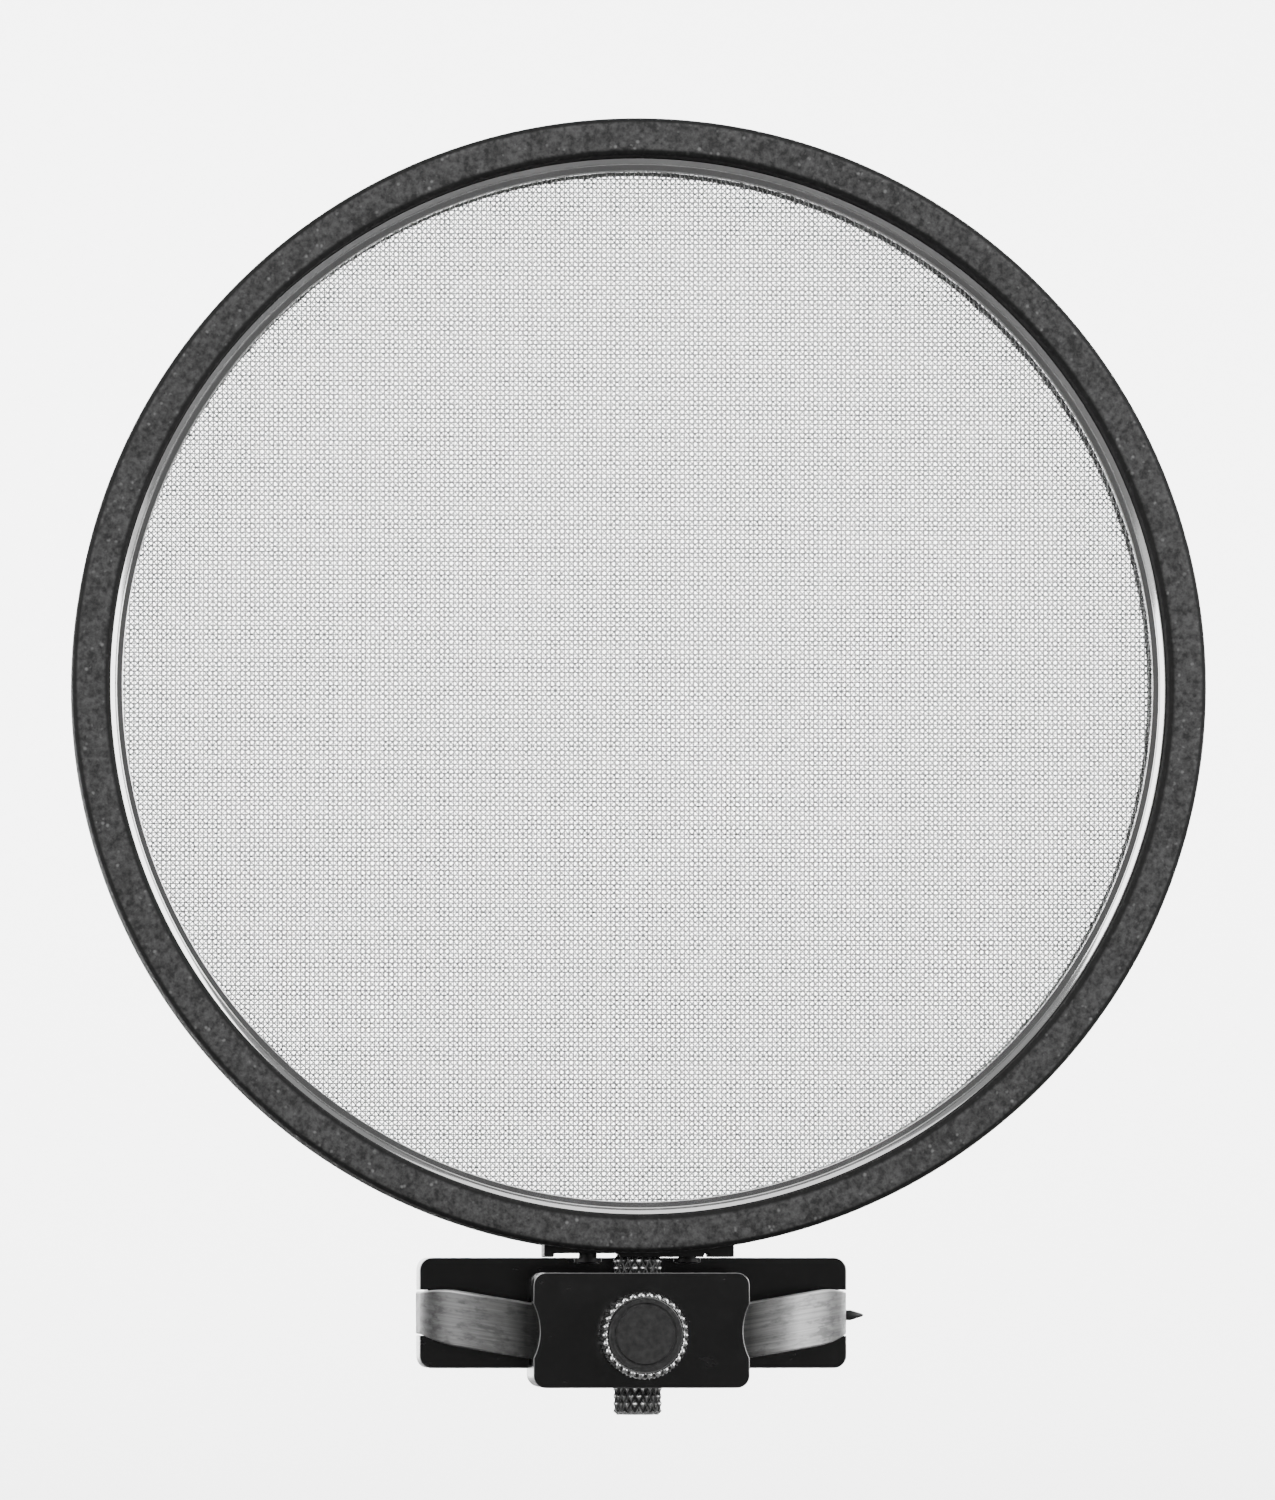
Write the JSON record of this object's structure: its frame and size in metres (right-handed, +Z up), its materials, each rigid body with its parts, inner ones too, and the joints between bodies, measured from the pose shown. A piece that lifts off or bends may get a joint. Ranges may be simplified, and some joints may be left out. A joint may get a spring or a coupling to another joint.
{
  "type": "pop filter",
  "caption": "Clamp-on pop filter: a round double wire-mesh screen in a rubber-trimmed hoop, on a knurled post locked by a thumbscrew in a strap clamp.",
  "frame": {"origin": "the middle of the saddle plate's flat back land, which bears on the microphone's neck", "axes": "+Z up along the post, +Y out of the saddle into the microphone's neck, -Y towards the voice, +X to the right as the singer sees it"},
  "size_m": [0.098, 0.0474, 0.112],
  "materials": {
    "rim_rubber": "dark grey moulded rubber with a fine mottled grain",
    "polished_steel": "polished rolled steel",
    "spacer_steel": "plain rolled steel",
    "wire_mesh": "fine woven stainless wire",
    "black_steel": "black painted die casting",
    "zinc_screw": "bright zinc plated steel",
    "knurled_nickel": "nickel plated brass with a diamond knurl",
    "black_plastic": "satin black moulded plastic",
    "pad_rubber": "soft black rubber",
    "pin_steel": "plain steel pin",
    "strap_steel": "spring steel brushed along its length",
    "black_nylon": "black nylon",
    "brass": "plain turned brass",
    "knob_face": "dark grey disc with a fine ring groove"
  },
  "bodies": {
    "clamp": {"saddle_plate": "black_plastic", "clamp_block": "black_plastic", "saddle_pad_left": "pad_rubber", "saddle_pad_right": "pad_rubber", "block_screw_left": "zinc_screw", "block_screw_right": "zinc_screw", "strap": "strap_steel", "strap_liner": "pad_rubber", "strap_hook": "black_steel", "strap_pin_left": "pin_steel", "strap_pin_right": "pin_steel", "thumb_insert": "brass"},
    "bush": {"post_bush": "black_nylon"},
    "screen": {"knurled_post": "knurled_nickel", "hoop_foot": "black_steel", "foot_screw_left": "black_steel", "foot_screw_right": "black_steel", "rim_trim": "rim_rubber", "front_hoop": "polished_steel", "rear_hoop": "polished_steel", "spacer_ring": "spacer_steel", "front_mesh": "wire_mesh", "rear_mesh": "wire_mesh"},
    "shoe": {"pinch_shoe": "brass"},
    "thumbscrew": {"thumb_head": "knurled_nickel", "thumb_face": "knob_face", "thumb_shaft": "zinc_screw", "thumb_washer": "black_nylon"}
  },
  "joints": [
    {"name": "screen_swivel", "type": "hinge", "parent": "clamp", "child": "bush", "pos_m": [0, -0.014, 0], "axis": [0, 0, 1], "range_deg": [-90, 90]},
    {"name": "post_slide", "type": "slide", "parent": "bush", "child": "screen", "axis": [0, 0, 1], "range_m": [0, 0.005]},
    {"name": "shoe_slide", "type": "slide", "parent": "clamp", "child": "shoe", "axis": [0, -1, 0], "range_m": [0, 0.0014]},
    {"name": "thumbscrew_turn", "type": "hinge", "parent": "shoe", "child": "thumbscrew", "pos_m": [0, -0.0211, -0.00184], "axis": [0, -1, 0], "range_deg": [0, 720]}
  ],
  "couplings": [
    {"joint": "thumbscrew_turn", "follows": "shoe_slide", "rad_per_m": 8976}
  ]
}
